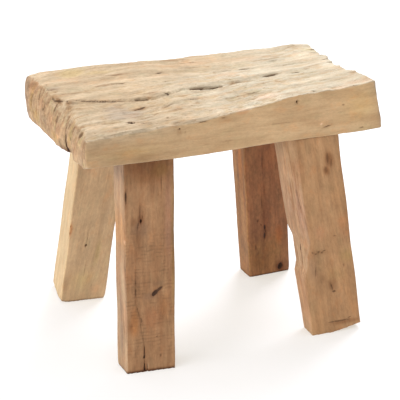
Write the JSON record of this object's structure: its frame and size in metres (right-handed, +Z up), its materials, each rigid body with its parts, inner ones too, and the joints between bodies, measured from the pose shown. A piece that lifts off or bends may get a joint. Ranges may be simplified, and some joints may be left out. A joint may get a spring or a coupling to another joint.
{
  "type": "stool",
  "caption": "Rustic stool: a thick, weathered slab seat with a long open shake, on splayed square posts tenoned blind into its underside.",
  "frame": {"origin": "on the floor, under the middle of the stool's bounding box", "axes": "+X along the seat's length and grain to the picture's right, +Y from the front to the back, +Z up"},
  "size_m": [0.5114, 0.3698, 0.4151],
  "materials": {
    "weathered_seat_wood": "dry, untreated, weathered hardwood with open grain, cracks and a sawn golden front face",
    "red_brown_wood": "dry, sawn red-brown hardwood with dark knots",
    "mid_brown_wood": "dry, sawn mid-brown hardwood with a waney edge",
    "pale_tan_wood": "dry, planed pale tan hardwood",
    "dark_red_wood": "dry, dark reddish hardwood, streaked",
    "wedge_wood": "split hardwood, hidden"
  },
  "bodies": {
    "root": {"seat_slab": "weathered_seat_wood", "leg_front_left": "red_brown_wood", "leg_front_right": "mid_brown_wood", "leg_rear_left": "pale_tan_wood", "leg_rear_right": "dark_red_wood", "wedge_front_left": "wedge_wood", "wedge_front_right": "wedge_wood", "wedge_rear_left": "wedge_wood", "wedge_rear_right": "wedge_wood"}
  },
  "joints": []
}
